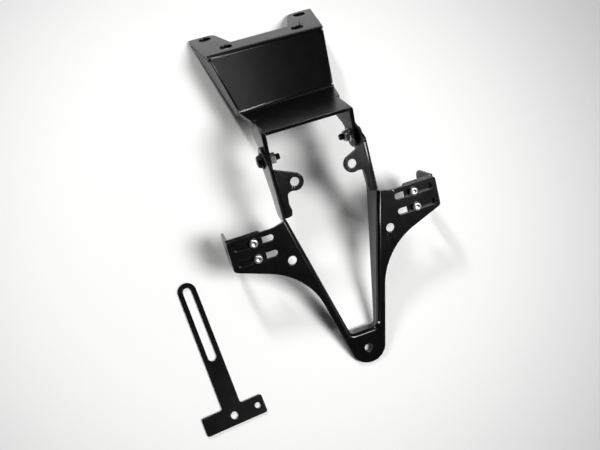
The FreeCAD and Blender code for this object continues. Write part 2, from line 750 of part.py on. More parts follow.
def hexagon(body, name, flats, lift=None):
    """Six-sided outline by its width across flats."""
    side = flats / 2 * tangent(Size(30, "30"))
    return Drawing(body, name, lift=lift).outline([
        (flats / 2, -side), (flats / 2, side), (0, side * 2), (-flats / 2, side),
        (-flats / 2, -side), (0, -side * 2)])


def ring(name, outer, bore, thick):
    """Plain washer on the XY plane."""
    body = new_body(name)
    pad(body, Drawing(body, "outline").circle(0, 0, outer).circle(0, 0, bore), "plate", thick)
    return body


def nut(name, flats, high, thread, flange=None):
    """Hexagon nut on the XY plane, with a flange below it where one is given."""
    body = new_body(name)
    pad(body, hexagon(body, "flats_outline", flats), "flats", high)
    corner = flats / 2 / cosine(Size(30, "30"))
    edge = Drawing(body, "corner_outline", "XZ_Plane").outline([
        (flats / 2, high), (corner + 1, high), (corner + 1, high - (corner + 1 - flats / 2) * 0.577)])
    cut = body.newObject("PartDesign::Groove", "corners")
    cut.Profile = edge.sketch
    cut.ReferenceAxis = (edge.sketch, ["V_Axis"])
    edge.sketch.Visibility = False
    doc.recompute()
    if flange is not None:
        pad(body, Drawing(body, "flange_outline").circle(0, 0, flange), "flange", high * 0.22)
    pocket(body, Drawing(body, "bore_outline").circle(0, 0, thread + 0.1), "bore", both=True)
    return body


def mirrored(source, name):
    item = doc.addObject("Part::Mirroring", name)
    item.Source = source
    item.Normal = FreeCAD.Vector(1, 0, 0)
    return item


def both_halves(name, *sources):
    """One piece from the solids of its right half and their mirror images."""
    item = doc.addObject("Part::MultiFuse", name)
    item.Shapes = list(sources) + [mirrored(source, source.Name + "_left") for source in sources]
    item.Refine = True
    return item


def turn_x(angle):
    return FreeCAD.Placement(FreeCAD.Vector(), FreeCAD.Rotation(FreeCAD.Vector(1, 0, 0), angle))


def move(x, y, z):
    return FreeCAD.Placement(FreeCAD.Vector(x, y, z), FreeCAD.Rotation())


def resting_turn():
    """Lean of the plate holder when its tip and the flange's lower edge touch the ground."""
    edge = tail_points()["end_in"]
    place = move(0, SIZES["pivot_level"], -SIZES["pivot_depth"]) * turn_x(SIZES["tail_turn"])
    far = place.multVec(FreeCAD.Vector(0, edge[0].value, edge[1].value))
    near = FreeCAD.Vector(0, SIZES["tip_level"] - SIZES["tip_radius"], -SIZES["plate_sheet"])
    span = far - near
    return math.degrees(math.atan2(-span.z, span.y)), near


# every piece in its own frame
plate = both_halves("plate_holder", plate_half())
tail = both_halves("tail_bracket", tail_half(), gusset_half(), ear_half())
lamp = indicator_half()
reflector = reflector_bracket()
stack = S["plate_sheet"] * 2 + S["small_washer_thick"] + S["small_nut_high"] + S["small_stick_out"]
small_screw = screw("small_screw", S["small_thread"], stack, S["small_head"], S["small_head_high"],
                    S["small_key"])
small_washer = ring("small_washer", S["small_washer"], S["small_hole"], S["small_washer_thick"])
small_nut = nut("small_nut", S["small_nut_flats"], S["small_nut_high"], S["small_thread"])
pivot_grip = (S["pivot_washer_thick"] + S["plate_sheet"] + S["pivot_gap"] + S["tail_sheet"]
              + S["pivot_nut_high"] + S["pivot_stick_out"])
pivot_screw = screw("pivot_screw", S["pivot_thread"], pivot_grip, S["pivot_head"],
                    S["pivot_head_high"], S["pivot_key"])
pivot_washer = ring("pivot_washer", S["pivot_washer"], S["pivot_hole"], S["pivot_washer_thick"])
pivot_nut = nut("pivot_nut", S["pivot_nut_flats"], S["pivot_nut_high"], S["pivot_thread"],
                S["pivot_nut_flange"])
doc.recompute()

# places in the resting frame: X across, Y from the tip to the flange, Z up
lean, tip = resting_turn()
ground = turn_x(lean) * move(0, -tip.y, -tip.z)
tail_place = ground * move(0, SIZES["pivot_level"], -SIZES["pivot_depth"]) * turn_x(SIZES["tail_turn"])
across = FreeCAD.Placement(FreeCAD.Vector(), FreeCAD.Rotation(FreeCAD.Vector(0, 1, 0), 90))
upside = FreeCAD.Placement(FreeCAD.Vector(), FreeCAD.Rotation(FreeCAD.Vector(0, 1, 0), 180))
arm_out = SIZES["ear_half"] + SIZES["pivot_gap"] + SIZES["plate_sheet"]
ear_in = SIZES["ear_half"] - SIZES["tail_sheet"]
back = -2 * SIZES["plate_sheet"]
beside = FreeCAD.Placement(FreeCAD.Vector(SIZES["bar_place_x"], SIZES["bar_place_y"], 0),
                           FreeCAD.Rotation(FreeCAD.Vector(0, 0, 1), SIZES["bar_turn"]))

nodes = {"tail_bracket": (tail.Shape, tail_place), "plate_holder": (plate.Shape, ground),
         "reflector_bracket": (reflector.Shape, beside)}


def add_pair(name, shape, own, place):
    """One node on the right and its mirror image on the left."""
    right = shape.copy()
    right.Placement = own * right.Placement
    nodes[name % "right"] = (right, place)
    nodes[name % "left"] = (right.mirror(FreeCAD.Vector(), FreeCAD.Vector(1, 0, 0)), place)


add_pair("indicator_bracket_%s", lamp.Shape, FreeCAD.Placement(), ground)
add_pair("pivot_bolt_%s", pivot_screw.Shape,
         move(arm_out + SIZES["pivot_washer_thick"], 0, 0) * across, tail_place)
add_pair("pivot_washer_%s", pivot_washer.Shape, move(arm_out, 0, 0) * across, tail_place)
add_pair("pivot_nut_%s", pivot_nut.Shape, move(ear_in, 0, 0) * across * upside, tail_place)
for level, word in (("slot_high", "upper"), ("slot_low", "lower")):
    spot = (SIZES["screw_x"], SIZES[level])
    add_pair("indicator_screw_%s_" + word, small_screw.Shape, move(*spot, 0), ground)
    add_pair("indicator_washer_%s_" + word, small_washer.Shape, move(*spot, back) * upside, ground)
    add_pair("indicator_nut_%s_" + word, small_nut.Shape,
             move(*spot, back - SIZES["small_washer_thick"]) * upside, ground)

placed = {}
for name, (shape, place) in nodes.items():
    shape = shape.copy()
    shape.Placement = place * shape.Placement
    placed[name] = shape

box = FreeCAD.BoundBox()
for shape in placed.values():
    box.add(shape.optimalBoundingBox(False))
centre = FreeCAD.Vector(-(box.XMin + box.XMax) / 2, -(box.YMin + box.YMax) / 2, -box.ZMin)

os.makedirs("parts", exist_ok=True)
for item in doc.Objects:
    if {"Invalid", "Error"} & set(item.State):
        raise ValueError("%s: %s" % (item.Name, item.State))
for name, shape in placed.items():
    shape.translate(centre)
    item = doc.addObject("Part::Feature", name + "_placed")
    item.Shape = shape
    if not shape.isValid() or len(shape.Solids) != 1:
        raise ValueError("%s is not one valid solid" % name)
    item.Shape.exportStep("parts/%s.step" % name)
print("lean %.4f, shift %.4f %.4f %.4f" % (lean, centre.x, centre.y, centre.z))
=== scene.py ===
"""Looks of a folded-sheet tail tidy: powder-coated brackets, their fasteners, table, light and camera."""
import logging
import math
from dataclasses import dataclass, field
from enum import Enum
from typing import Any, Callable, Sequence

import bmesh
import bpy
from mathutils import Matrix, Vector


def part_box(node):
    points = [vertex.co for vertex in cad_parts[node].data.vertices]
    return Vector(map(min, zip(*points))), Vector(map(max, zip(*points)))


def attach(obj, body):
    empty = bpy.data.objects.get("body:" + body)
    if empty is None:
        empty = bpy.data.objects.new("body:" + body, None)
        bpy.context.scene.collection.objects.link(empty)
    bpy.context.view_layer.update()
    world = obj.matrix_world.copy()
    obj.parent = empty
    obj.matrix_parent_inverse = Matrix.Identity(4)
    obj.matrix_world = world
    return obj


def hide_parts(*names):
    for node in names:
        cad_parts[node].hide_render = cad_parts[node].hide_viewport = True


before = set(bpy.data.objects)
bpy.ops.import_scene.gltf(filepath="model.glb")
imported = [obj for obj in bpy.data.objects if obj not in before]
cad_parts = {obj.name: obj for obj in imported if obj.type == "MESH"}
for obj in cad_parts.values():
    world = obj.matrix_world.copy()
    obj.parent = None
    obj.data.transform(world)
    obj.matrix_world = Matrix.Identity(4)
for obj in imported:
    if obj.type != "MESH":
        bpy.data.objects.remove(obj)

Colour = tuple[float, float, float, float]
Outline = Callable[[float], float]
Ring = list[Vector]

LOG = logging.getLogger("tail_tidy")
# metres in a millimetre
MM = 0.001
# points in each ring of a turned piece
RING_STEPS = 72
# turn from one side of a hexagon to the next
HEX_TURN = math.pi / 3
# where nearly all values of a noise texture lie
NOISE_SPAN = {"From Min": 0.3, "From Max": 0.7}


class Side(Enum):
    """Side of the carrier, as the sign of X."""

    RIGHT = 1
    LEFT = -1

    @property
    def word(self) -> str:
        """Word used in the names of nodes and bodies."""
        return self.name.lower()


class Level(Enum):
    """Slot of a wing, as its height above the wing's own hole in millimetres."""

    UPPER = 21.2
    LOWER = 9.4

    @property
    def word(self) -> str:
        """Word used in the names of nodes."""
        return self.name.lower()


def linear(colour: str) -> Colour:
    """Turn an sRGB hex colour into the linear values that shaders take, by the sRGB standard's own curve.

    Args:
        colour: Colour as "#rrggbb".

    Returns:
        Linear red, green, blue and an alpha of one.
    """
    parts = [int(colour[i:i + 2], 16) / 255 for i in (1, 3, 5)]
    red, green, blue = (p / 12.92 if p <= 0.04045 else ((p + 0.055) / 1.055) ** 2.4 for p in parts)
    return red, green, blue, 1.0


def add_node(tree: bpy.types.NodeTree, kind: str, settings: dict[Any, Any] | None = None,
             links: dict[Any, bpy.types.NodeSocket] | None = None) -> bpy.types.Node:
    """Add a shader node with its settings and its incoming links.

    Args:
        tree: Node tree that receives the node.
        kind: Blender's type name of the node.
        settings: Input values by name or number, or node properties by name.
        links: Source sockets by the name or number of the input they feed.

    Returns:
        The new node.
    """
    node = tree.nodes.new(kind)
    for key, value in (settings or {}).items():
        if isinstance(key, int) or key in node.inputs:
            node.inputs[key].default_value = value
        else:
            setattr(node, key, value)
    for key, socket in (links or {}).items():
        tree.links.new(socket, node.inputs[key])
    return node


@dataclass
class Surface:
    """A material under construction: its tree, its shader and its own coordinates in millimetres."""

    name: str
    settings: dict[Any, Any]

    def __post_init__(self) -> None:
        """Start the node tree with the shader, its output and the coordinates."""
        self.material = bpy.data.materials.new(self.name)
        self.material.use_nodes = True
        self.tree = self.material.node_tree
        self.tree.nodes.clear()
        self.shader = add_node(self.tree, "ShaderNodeBsdfPrincipled", self.settings)
        add_node(self.tree, "ShaderNodeOutputMaterial", links={"Surface": self.shader.outputs[0]})
        place = add_node(self.tree, "ShaderNodeTexCoord")
        self.millimetres = add_node(self.tree, "ShaderNodeVectorMath",
                                    {"operation": "SCALE", "Scale": 1 / MM},
                                    {0: place.outputs["Object"]}).outputs[0]

    def feed(self, **sockets: bpy.types.NodeSocket) -> bpy.types.Material:
        """Link patterns to the shader.

        Args:
            **sockets: Sources by the shader input's name, with an underscore for a space.

        Returns:
            The finished material.
        """
        for name, socket in sockets.items():
            self.tree.links.new(socket, self.shader.inputs[name.replace("_", " ")])
        return self.material


@dataclass(frozen=True)
class PowderCoat:
    """Satin black polyester powder, sprayed dry and baked until it flows into a film."""

    name: str = "polyester_powder_coat_baked_satin_black"
    dark: str = "#030304"
    light: str = "#080809"
    ior: float = 1.5
    gloss: float = 0.5
    smooth: float = 0.19
    dull: float = 0.22
    cloud_mm: float = 26.0
    flows_per_cloud: float = 3.0
    peel_mm: float = 1.4
    peel_depth_mm: float = 0.006
    peel_strength: float = 0.5
    grain_mm: float = 0.45
    grain_depth_mm: float = 0.003
    grain_strength: float = 0.2

    def material(self) -> bpy.types.Material:
        """Build the finish from its colour, sheen, peel and grain.

        Returns:
            The coat's material.
        """
        made = Surface(self.name, {"IOR": self.ior, "Metallic": 0.0, "Specular IOR Level": self.gloss})
        tree, here = made.tree, {"Vector": made.millimetres}
        cloud = add_node(tree, "ShaderNodeTexNoise", {"Scale": 1 / self.cloud_mm, "Detail": 3.0}, here)
        tone = add_node(tree, "ShaderNodeMix",
                        {"data_type": "RGBA", 6: linear(self.dark), 7: linear(self.light)},
                        {0: cloud.outputs[0]})
        # the film flows out unevenly, so the eye sees a sheen that changes slowly over a panel
        flow = add_node(tree, "ShaderNodeTexNoise",
                        {"Scale": self.flows_per_cloud / self.cloud_mm, "Detail": 2.0}, here)
        sheen = add_node(tree, "ShaderNodeMapRange",
                         {**NOISE_SPAN, "To Min": self.smooth, "To Max": self.dull},
                         {"Value": flow.outputs[0]})
        # it also dries with a faint orange peel, which breaks up the mirror of a lamp
        peel = add_node(tree, "ShaderNodeTexNoise", {"Scale": 1 / self.peel_mm, "Detail": 1.0}, here)
        waves = add_node(tree, "ShaderNodeBump",
                         {"Distance": self.peel_depth_mm * MM, "Strength": self.peel_strength},
                         {"Height": peel.outputs[0]})
        # the real powder is 0.1 mm fine, and is drawn coarser so that it shows
        grain = add_node(tree, "ShaderNodeTexNoise", {"Scale": 1 / self.grain_mm, "Roughness": 0.6}, here)
        fine = add_node(tree, "ShaderNodeBump",
                        {"Distance": self.grain_depth_mm * MM, "Strength": self.grain_strength},
                        {"Height": grain.outputs[0], "Normal": waves.outputs[0]})
        return made.feed(Base_Color=tone.outputs[2], Roughness=sheen.outputs[0], Normal=fine.outputs[0])


@dataclass(frozen=True)
class BlackOxide:
    """Black oxide on heat-treated steel, made by dipping it in a hot bath."""

    name: str = "steel_black_oxide_dipped"
    dark: str = "#19191b"
    light: str = "#2a2a2d"
    metal: float = 0.85
    smooth: float = 0.28
    dull: float = 0.42
    mottle_mm: float = 1.2
    scale_mm: float = 0.3
    scale_depth_mm: float = 0.01
    scale_strength: float = 0.3

    def material(self) -> bpy.types.Material:
        """Build the finish from the dip's mottling and the forging's fine scale.

        Returns:
            The oxide's material.
        """
        made = Surface(self.name, {"Metallic": self.metal})
        tree, here = made.tree, {"Vector": made.millimetres}
        # the skin is thin, so the metal's glint still comes through, brighter where the dip took less
        mottle = add_node(tree, "ShaderNodeTexNoise", {"Scale": 1 / self.mottle_mm, "Detail": 3.0}, here)
        tone = add_node(tree, "ShaderNodeMix",
                        {"data_type": "RGBA", 6: linear(self.dark), 7: linear(self.light)},
                        {0: mottle.outputs[0]})
        sheen = add_node(tree, "ShaderNodeMapRange",
                         {**NOISE_SPAN, "To Min": self.dull, "To Max": self.smooth},
                         {"Value": mottle.outputs[0]})
        scale = add_node(tree, "ShaderNodeTexNoise", {"Scale": 1 / self.scale_mm}, here)
        relief = add_node(tree, "ShaderNodeBump",
                          {"Distance": self.scale_depth_mm * MM, "Strength": self.scale_strength},
                          {"Height": scale.outputs[0]})
        return made.feed(Base_Color=tone.outputs[2], Roughness=sheen.outputs[0], Normal=relief.outputs[0])


@dataclass(frozen=True)
class TurnedSteel:
    """Bare or plated steel with the fine rings that turning or cold heading leaves around its axis."""

    name: str
    dark: str
    light: str
    smooth: float
    dull: float
    ring_mm: float = 0.35
    ring_depth_mm: float = 0.006
    ring_strength: float = 0.35
    cloud_mm: float = 1.6
    wear_per_cloud: float = 2.0

    def material(self) -> bpy.types.Material:
        """Build the finish from its rings, its clouded colour and its worn sheen.

        Returns:
            The steel's material.
        """
        made = Surface(self.name, {"Metallic": 1.0})
        tree, here = made.tree, {"Vector": made.millimetres}
        parts = add_node(tree, "ShaderNodeSeparateXYZ", links={0: made.millimetres})
        flat = add_node(tree, "ShaderNodeCombineXYZ", links={0: parts.outputs[0], 1: parts.outputs[1]})
        away = add_node(tree, "ShaderNodeVectorMath", {"operation": "LENGTH"}, {0: flat.outputs[0]})
        # the rings spread a highlight round the head; real feed marks are 0.1 mm, drawn wider to show
        turns = add_node(tree, "ShaderNodeMath", {"operation": "MULTIPLY", 1: math.tau / self.ring_mm},
                         {0: away.outputs["Value"]})
        rings = add_node(tree, "ShaderNodeMath", {"operation": "SINE"}, {0: turns.outputs[0]})
        relief = add_node(tree, "ShaderNodeBump",
                          {"Distance": self.ring_depth_mm * MM, "Strength": self.ring_strength},
                          {"Height": rings.outputs[0]})
        cloud = add_node(tree, "ShaderNodeTexNoise", {"Scale": 1 / self.cloud_mm}, here)
        tone = add_node(tree, "ShaderNodeMix",
                        {"data_type": "RGBA", 6: linear(self.dark), 7: linear(self.light)},
                        {0: cloud.outputs[0]})
        wear = add_node(tree, "ShaderNodeTexNoise",
                        {"Scale": self.wear_per_cloud / self.cloud_mm, "Detail": 3.0}, here)
        sheen = add_node(tree, "ShaderNodeMapRange",
                         {**NOISE_SPAN, "To Min": self.smooth, "To Max": self.dull},
                         {"Value": wear.outputs[0]})
        return made.feed(Base_Color=tone.outputs[2], Roughness=sheen.outputs[0], Normal=relief.outputs[0])


@dataclass(frozen=True)
class TableTop:
    """Matt white plastic sheet, rolled, that covers the photo table, with painted shade that greys it towards
    its edges.
    """

    name: str = "polypropylene_sheet_rolled_matt_white"
    middle: str = "#fcfcfb"
    # painted shade: the grey that the sheet is painted far from the middle, where the light falls off
    edge: str = "#b8b8b9"
    ior: float = 1.46
    roughness: float = 0.8
    gloss: float = 0.1
    bright_mm: float = 120.0
    fade_mm: float = 420.0
    centre_mm: tuple[float, float] = (-20.0, 0.0)
    grain_mm: float = 0.9
    grain_depth_mm: float = 0.01
    grain_strength: float = 0.1

    def material(self) -> bpy.types.Material:
        """Build the sheet with painted shade that greys it towards its edges, where the light falls off,
        measured from the middle of the picture.

        Returns:
            The table top's material.
        """
        made = Surface(self.name, {"IOR": self.ior, "Roughness": self.roughness,
                                   "Specular IOR Level": self.gloss})
        tree, here = made.tree, {"Vector": made.millimetres}
        # painted shade: the sheet is pure white in the middle and painted greyer towards the corners, where
        # the light falls off
        moved = add_node(tree, "ShaderNodeVectorMath",
                         {"operation": "SUBTRACT", 1: (*self.centre_mm, 0.0)}, {0: made.millimetres})
        away = add_node(tree, "ShaderNodeVectorMath", {"operation": "LENGTH"}, {0: moved.outputs[0]})
        # how far the painted shade has taken over, from none near the middle to full at the far radius
        painted_falloff = add_node(tree, "ShaderNodeMapRange",
                        {"interpolation_type": "SMOOTHSTEP", "From Min": self.bright_mm,
                         "From Max": self.fade_mm}, {"Value": away.outputs["Value"]})
        tone = add_node(tree, "ShaderNodeMix",
                        {"data_type": "RGBA", 6: linear(self.middle), 7: linear(self.edge)},
                        {0: painted_falloff.outputs[0]})
        grain = add_node(tree, "ShaderNodeTexNoise", {"Scale": 1 / self.grain_mm}, here)
        relief = add_node(tree, "ShaderNodeBump",
                          {"Distance": self.grain_depth_mm * MM, "Strength": self.grain_strength},
                          {"Height": grain.outputs[0]})
        return made.feed(Base_Color=tone.outputs[2], Normal=relief.outputs[0])


@dataclass
class Finishes:
    powder: bpy.types.Material = field(default_factory=lambda: PowderCoat().material())
    oxide: bpy.types.Material = field(default_factory=lambda: BlackOxide().material())
    stainless: bpy.types.Material = field(default_factory=lambda: TurnedSteel(
        "stainless_steel_cold_headed", dark="#b6b3ae", light="#dad7d2", smooth=0.26, dull=0.4).material())
    zinc: bpy.types.Material = field(default_factory=lambda: TurnedSteel(
        "steel_zinc_plated_bright", dark="#bcbec0", light="#dfe2e4", smooth=0.18, dull=0.32).material())


def paint(piece: bpy.types.Object, material: bpy.types.Material) -> None:
    """Give a piece one finish.

    Args:
        piece: Mesh object to paint.
        material: Its finish.
    """
    if piece.data.materials:
        for number in range(len(piece.data.materials)):
            piece.data.materials[number] = material
    else:
        piece.data.materials.append(material)


@dataclass
class SheetPiece:
    """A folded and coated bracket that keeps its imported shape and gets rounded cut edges."""

    node: str
    edge_mm: float = 0.45
    edge_steps: int = 2
    sharp_deg: float = 40.0
    weld_mm: float = 0.002

    def dress(self, finishes: Finishes) -> None:
        """Coat the bracket and round its cut edges.
        """
        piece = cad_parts[self.node]
        paint(piece, finishes.powder)
        self.soften(piece)
        LOG.info("coated %s", self.node)

    def soften(self, piece: bpy.types.Object) -> None:
        """Round the sharp edges of the bracket a little, as its coat does.

        Args:
            piece: Node that keeps its own mesh.
        """
        weld = piece.modifiers.new("joined_corners", "WELD")
        weld.merge_threshold = self.weld_mm * MM
        bevel = piece.modifiers.new("coated_edges", "BEVEL")
        bevel.width = self.edge_mm * MM
        bevel.segments = self.edge_steps
        bevel.limit_method = "ANGLE"
        bevel.angle_limit = math.radians(self.sharp_deg)
        bevel.harden_normals = True
        # clamping would flatten every edge of the sheet, and sliding would pull spikes at its corners
        bevel.use_clamp_overlap = False
        bevel.loop_slide = False


@dataclass
class SheetMetal:
    nodes: tuple[str, ...] = ("tail_bracket", "plate_holder", "reflector_bracket",
                              "indicator_bracket_left", "indicator_bracket_right")

    def dress(self, finishes: Finishes) -> None:
        """Coat every bracket.
        """
        for node in self.nodes:
            SheetPiece(node).dress(finishes)


def ring(radius: Outline | float, height: float) -> Ring:
    """One closed row of points around the Z axis.

    Args:
        radius: Distance from the axis in millimetres, or a function of the angle that gives it.
        height: Height of the row in millimetres.

    Returns:
        The points in metres.
    """
    points = []
    for step in range(RING_STEPS):
        angle = math.tau * step / RING_STEPS
        away = radius(angle) if callable(radius) else radius
        points.append(Vector((away * math.cos(angle), away * math.sin(angle), height)) * MM)
    return points


def six_sided(flats: float, limit: float = math.inf) -> Outline:
    """Outline of a hexagon, cut off by a circle.

    Args:
        flats: Width across flats in millimetres.
        limit: Radius beyond which the corners are cut off.

    Returns:
        A function that gives the radius at an angle.
    """
    def radius(angle: float) -> float:
        """Radius of the outline at one angle."""
        return min(limit, flats / 2 / math.cos(angle % HEX_TURN - HEX_TURN / 2))
    return radius


def loft(name: str, rows: Sequence[Ring], capped: bool, sharp_deg: float = 32.0) -> bpy.types.Object:
    """Skin a stack of rings into a mesh.

    Args:
        name: Name of the piece.
        rows: Rings in order; a skin that closes on itself isn't capped.
        capped: Close both ends; otherwise the last ring joins the first.
        sharp_deg: Edges that turn more than this stay crisp.

    Returns:
        The new object, at the origin.
    """
    made = bmesh.new()
    loops = [[made.verts.new(p) for p in row] for row in rows]
    pairs = list(zip(loops, loops[1:])) + ([] if capped else [(loops[-1], loops[0])])
    for low, high in pairs:
        for i in range(RING_STEPS):
            after = (i + 1) % RING_STEPS
            made.faces.new((low[i], low[after], high[after], high[i]))
    if capped:
        made.faces.new(list(reversed(loops[0])))
        made.faces.new(loops[-1])
    bmesh.ops.recalc_face_normals(made, faces=made.faces)
    made.normal_update()
    for face in made.faces:
        face.smooth = True
    for edge in made.edges:
        edge.smooth = edge.calc_face_angle(0.0) < math.radians(sharp_deg)
    mesh = bpy.data.meshes.new(name)
    made.to_mesh(mesh)
    made.free()
    piece = bpy.data.objects.new(name, mesh)
    bpy.context.scene.collection.objects.link(piece)
    return piece


@dataclass
class ScrewMaker:
    """Button-head socket screw with a rolled thread: seat at zero, head above it, thread below it.

    Lengths are in millimetres. A share is of the size that its comment names.
    """

    thread: float
    pitch: float
    grip: float
    head: float
    head_high: float
    key: float
    threaded: float
    # thread: depth as a share of the pitch, rings drawn in each turn, and run-out into the plain shank
    depth_share: float = 0.55
    rings_per_turn: int = 8
    runout: float = 0.1
    # thread: slope of its flanks, and how far its root is flattened
    flank_slope: float = 1.3
    root_flat: float = 0.15
    # chamfered point: share of the core's radius
    point_share: float = 0.5
    # head: rounding of its lower edge, shares of its height and its width, and the fullness of its dome
    rim_round: float = 0.12
    rim_share: float = 0.22
    crown_share: float = 0.31
    crown_steps: int = 7
    crown_fullness: float = 0.9
    # socket: mouth and tip as shares of the key, its chamfer, and depths as shares of the head's height
    mouth_share: float = 0.6
    mouth_chamfer: float = 0.08
    wall_deep: float = 0.6
    tip_share: float = 0.3
    tip_deep: float = 0.72

    def thread_row(self, height: float) -> Ring:
        """One ring of the thread.

        Args:
            height: Height of the ring, below the seat in millimetres.

        Returns:
            The ring, with its radius following the helix.
        """
        crest, depth = self.thread / 2, self.pitch * self.depth_share

        def radius(angle: float) -> float:
            """Radius on the helix at one angle."""
            phase = (height / self.pitch - angle / math.tau) % 1.0
            wave = min(1.0, max(0.0, self.flank_slope * abs(2 * phase - 1) - self.root_flat))
            rise = min(1.0, (height + self.grip) / self.pitch)
            return crest - depth * (1 - wave * rise)
        return ring(radius, height)

    def shank_rows(self) -> list[Ring]:
        """Rings from the screw's point, up its thread, to its seat.

        Returns:
            The rings in order.
        """
        core = self.thread / 2 - self.pitch * self.depth_share
        count = int(self.threaded / self.pitch * self.rings_per_turn)
        rows = [ring(core * self.point_share, -self.grip), ring(core, -self.grip)]
        rows += [self.thread_row(-self.grip + self.threaded * i / count) for i in range(1, count)]
        rows += [ring(self.thread / 2, -self.grip + self.threaded + self.runout), ring(self.thread / 2, 0.0)]
        return rows

    def head_rows(self) -> list[Ring]:
        """Rings from the head's lower edge, over its dome, into the socket.

        Returns:
            The rings in order.
        """
        half, rim, crown = self.head / 2, self.head_high * self.rim_share, self.head * self.crown_share
        rows = [ring(half - self.rim_round, 0.0), ring(half, self.rim_round), ring(half, rim)]
        for step in range(1, self.crown_steps + 1):
            turn = math.pi / 2 * step / self.crown_steps
            rows.append(ring(crown + (half - crown) * math.cos(turn) ** self.crown_fullness,
                             rim + (self.head_high - rim) * math.sin(turn)))
        top, edge = self.head_high, six_sided(self.key)
        rows += [ring(self.key * self.mouth_share, top), ring(edge, top - self.mouth_chamfer),
                 ring(edge, top - self.head_high * self.wall_deep),
                 ring(self.key * self.tip_share, top - self.head_high * self.tip_deep)]
        return rows

    def build(self, name: str) -> bpy.types.Object:
        """Make the screw's mesh.

        Args:
            name: Name of the piece.

        Returns:
            The screw at the origin.
        """
        return loft(name, self.shank_rows() + self.head_rows(), capped=True)


@dataclass
class NutMaker:
    """Hexagon nut with chamfered corners and an open bore; its seat is at zero.

    Lengths are in millimetres. A share is of the size that its comment names.
    """

    thread: float
    flats: float
    high: float
    flange: float | None = None
    # bore: play round the thread, and its countersinks at the seat and at the top
    play: float = 0.05
    seat_sink: float = 0.25
    top_sink: float = 0.3
    # corners: bearing face as a share of half the flats, and chamfer as a share of the corner's overhang
    face_share: float = 0.97
    chamfer_share: float = 0.62
    # flange: rounding of its rim, and heights of its rim and its skirt as shares of the nut's height
    rim_round: float = 0.1
    rim_share: float = 0.12
    skirt_share: float = 0.26
    sharp_deg: float = 24.0

    def build(self, name: str) -> bpy.types.Object:
        """Make the nut's mesh.

        Args:
            name: Name of the piece.

        Returns:
            The nut at the origin.
        """
        bore, corner = self.thread / 2 + self.play, self.flats / 2 / math.cos(HEX_TURN / 2)
        face, drop = self.flats / 2 * self.face_share, (corner - self.flats / 2) * self.chamfer_share
        rows = [ring(bore + self.seat_sink, 0.0)]
        if self.flange is None:
            rows += [ring(face, 0.0), ring(six_sided(self.flats), drop)]
        else:
            rim = self.flange / 2
            rows += [ring(rim - self.rim_round, 0.0), ring(rim, self.rim_round),
                     ring(rim, self.high * self.rim_share),
                     ring(six_sided(self.flats, rim - self.rim_round), self.high * self.skirt_share)]
        rows += [ring(six_sided(self.flats), self.high - drop), ring(face, self.high),
                 ring(bore + self.top_sink, self.high), ring(bore, self.high - self.top_sink),
                 ring(bore, self.seat_sink)]
        return loft(name, rows, capped=False, sharp_deg=self.sharp_deg)


@dataclass
class WasherMaker:
    """Stamped washer with rolled-over rims; its lower face is at zero and its sizes are in millimetres."""

    outer: float
    bore: float
    thick: float
    # rims: rounding as a share of the thickness, and how much farther the upper one rolls in
    rim_share: float = 0.18
    roll: float = 1.6

    def build(self, name: str) -> bpy.types.Object:
        """Make the washer's mesh.

        Args:
            name: Name of the piece.

        Returns:
            The washer at the origin.
        """
        half, hole, rim = self.outer / 2, self.bore / 2, self.thick * self.rim_share
        rows = [ring(hole, 0.0), ring(half - rim, 0.0), ring(half, rim), ring(half, self.thick - rim),
                ring(half - rim * self.roll, self.thick), ring(hole + rim, self.thick),
                ring(hole, self.thick - rim)]
        return loft(name, rows, capped=False)


@dataclass
class Fastener:
    """A finished screw, washer or nut in its place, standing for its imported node."""

    maker: ScrewMaker | NutMaker | WasherMaker
    node: str
    seat: Vector
    axis: Vector
    body: str
    material: bpy.types.Material
    slot: str
    spin_deg: float = 0.0

    def build(self) -> bpy.types.Object:
        """Make the piece, put its seat on what carries it and let it ride with that body.

        Returns:
            The placed piece.
        """
        piece = self.maker.build(self.node + "_turned")
        turn = self.axis.to_track_quat("Z", "Y").to_matrix().to_4x4()
        spin = Matrix.Rotation(math.radians(self.spin_deg), 4, "Z")
        piece.matrix_world = Matrix.Translation(self.seat * MM) @ turn @ spin
        paint(piece, self.material)
        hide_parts(self.node)
        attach(piece, self.body)
        self.report(piece)
        return piece

    def report(self, piece: bpy.types.Object) -> None:
        """Log how far the piece's middle is from its node's middle.

        Args:
            piece: The placed piece.
        """
        low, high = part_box(self.node)
        corners = [piece.matrix_world @ Vector(c) for c in piece.bound_box]
        middle = sum(corners, Vector()) / len(corners)
        LOG.info("%s set %.2f mm from its node's middle", piece.name, (middle - (low + high) / 2).length / MM)


@dataclass
class HolderFrame:
    """Where the leaning plate holder stands: its foot touches the table under the lean's axis."""

    lean_deg: float = 25.0561
    foot: tuple[float, float, float] = (0.0, -97.8, -2.0)
    shift: tuple[float, float, float] = (27.2809, -140.7779, 0.0)

    def lean(self) -> Matrix:
        """Turn of the holder against the table."""
        return Matrix.Rotation(math.radians(self.lean_deg), 3, "X")

    def point(self, x: float, up: float, out: float) -> Vector:
        """Turn a point of the holder's face into the table's frame.

        Args:
            x: Millimetres to the right of the holder's middle.
            up: Millimetres above the wing holes, along the face.
            out: Millimetres out of the face.

        Returns:
            The point in millimetres.
        """
        return self.lean() @ (Vector((x, up, out)) - Vector(self.foot)) + Vector(self.shift)

    def normal(self) -> Vector:
        """Direction out of the holder's face."""
        return self.lean() @ Vector((0.0, 0.0, 1.0))


